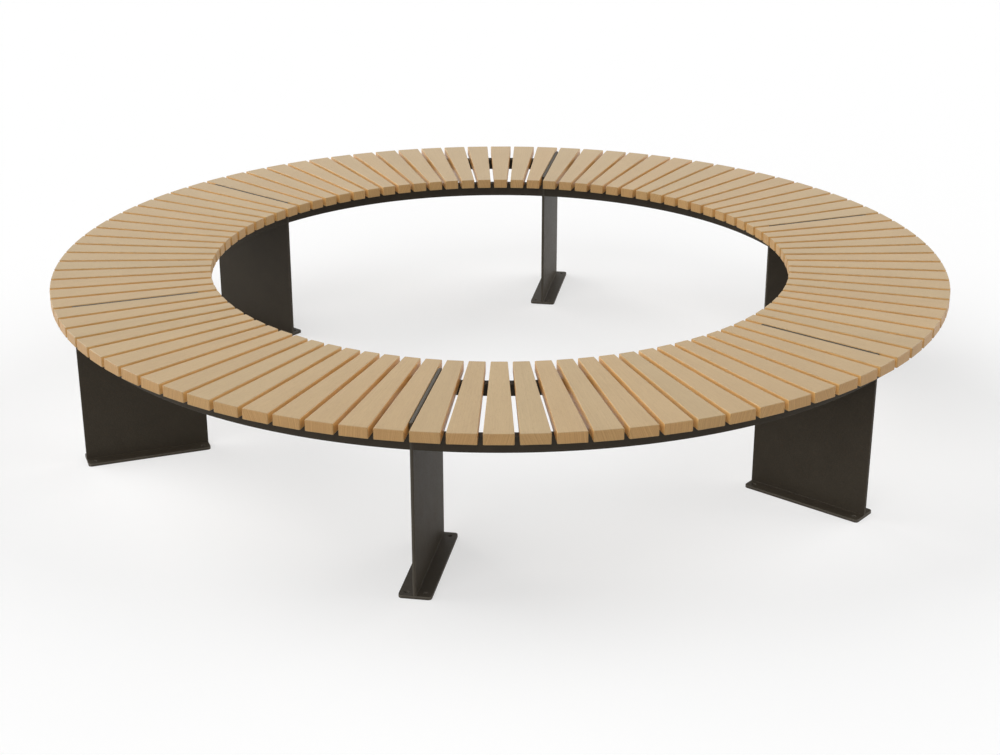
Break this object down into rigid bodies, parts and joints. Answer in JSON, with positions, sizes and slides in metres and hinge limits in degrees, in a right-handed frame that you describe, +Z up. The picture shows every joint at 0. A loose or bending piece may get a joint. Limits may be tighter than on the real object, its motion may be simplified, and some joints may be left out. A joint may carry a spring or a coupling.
{
  "type": "tree bench",
  "caption": "Round slatted bench that stands in a ring round a tree, with a flat seat of tapered wooden slats on flat steel legs with anchor feet.",
  "frame": {"origin": "on the ground, under the middle of the ring", "axes": "+Z up along the ring's axis, -Y the front, where leg 1 stands, the other legs at every 60 degrees"},
  "size_m": [2.5008, 2.5008, 0.448],
  "materials": {
    "slat_wood": "oiled hardwood, fine straight grain, planed smooth, small rounded edges",
    "frame_powder_coat": "dark bronze powder coat, fine texture, low sheen",
    "fastener_steel": "plain stainless steel"
  },
  "bodies": {
    "root": {"leg_plate_1": "frame_powder_coat", "foot_plate_1": "frame_powder_coat", "outer_rail_1": "frame_powder_coat", "inner_rail_1": "frame_powder_coat", "joint_plate_1_start": "frame_powder_coat", "joint_plate_1_end": "frame_powder_coat", "seat_slats_1a": "slat_wood", "seat_slats_1b": "slat_wood", "leg_plate_2": "frame_powder_coat", "foot_plate_2": "frame_powder_coat", "outer_rail_2": "frame_powder_coat", "inner_rail_2": "frame_powder_coat", "joint_plate_2_start": "frame_powder_coat", "joint_plate_2_end": "frame_powder_coat", "seat_slats_2a": "slat_wood", "seat_slats_2b": "slat_wood", "leg_plate_3": "frame_powder_coat", "foot_plate_3": "frame_powder_coat", "outer_rail_3": "frame_powder_coat", "inner_rail_3": "frame_powder_coat", "joint_plate_3_start": "frame_powder_coat", "joint_plate_3_end": "frame_powder_coat", "seat_slats_3a": "slat_wood", "seat_slats_3b": "slat_wood", "leg_plate_4": "frame_powder_coat", "foot_plate_4": "frame_powder_coat", "outer_rail_4": "frame_powder_coat", "inner_rail_4": "frame_powder_coat", "joint_plate_4_start": "frame_powder_coat", "joint_plate_4_end": "frame_powder_coat", "seat_slats_4a": "slat_wood", "seat_slats_4b": "slat_wood", "leg_plate_5": "frame_powder_coat", "foot_plate_5": "frame_powder_coat", "outer_rail_5": "frame_powder_coat", "inner_rail_5": "frame_powder_coat", "joint_plate_5_start": "frame_powder_coat", "joint_plate_5_end": "frame_powder_coat", "seat_slats_5a": "slat_wood", "seat_slats_5b": "slat_wood", "leg_plate_6": "frame_powder_coat", "foot_plate_6": "frame_powder_coat", "outer_rail_6": "frame_powder_coat", "inner_rail_6": "frame_powder_coat", "joint_plate_6_start": "frame_powder_coat", "joint_plate_6_end": "frame_powder_coat", "seat_slats_6a": "slat_wood", "seat_slats_6b": "slat_wood", "slat_screws_inner": "fastener_steel", "slat_screws_outer": "fastener_steel", "joint_bolts": "fastener_steel", "joint_nuts": "fastener_steel", "joint_washers": "fastener_steel"}
  },
  "joints": []
}
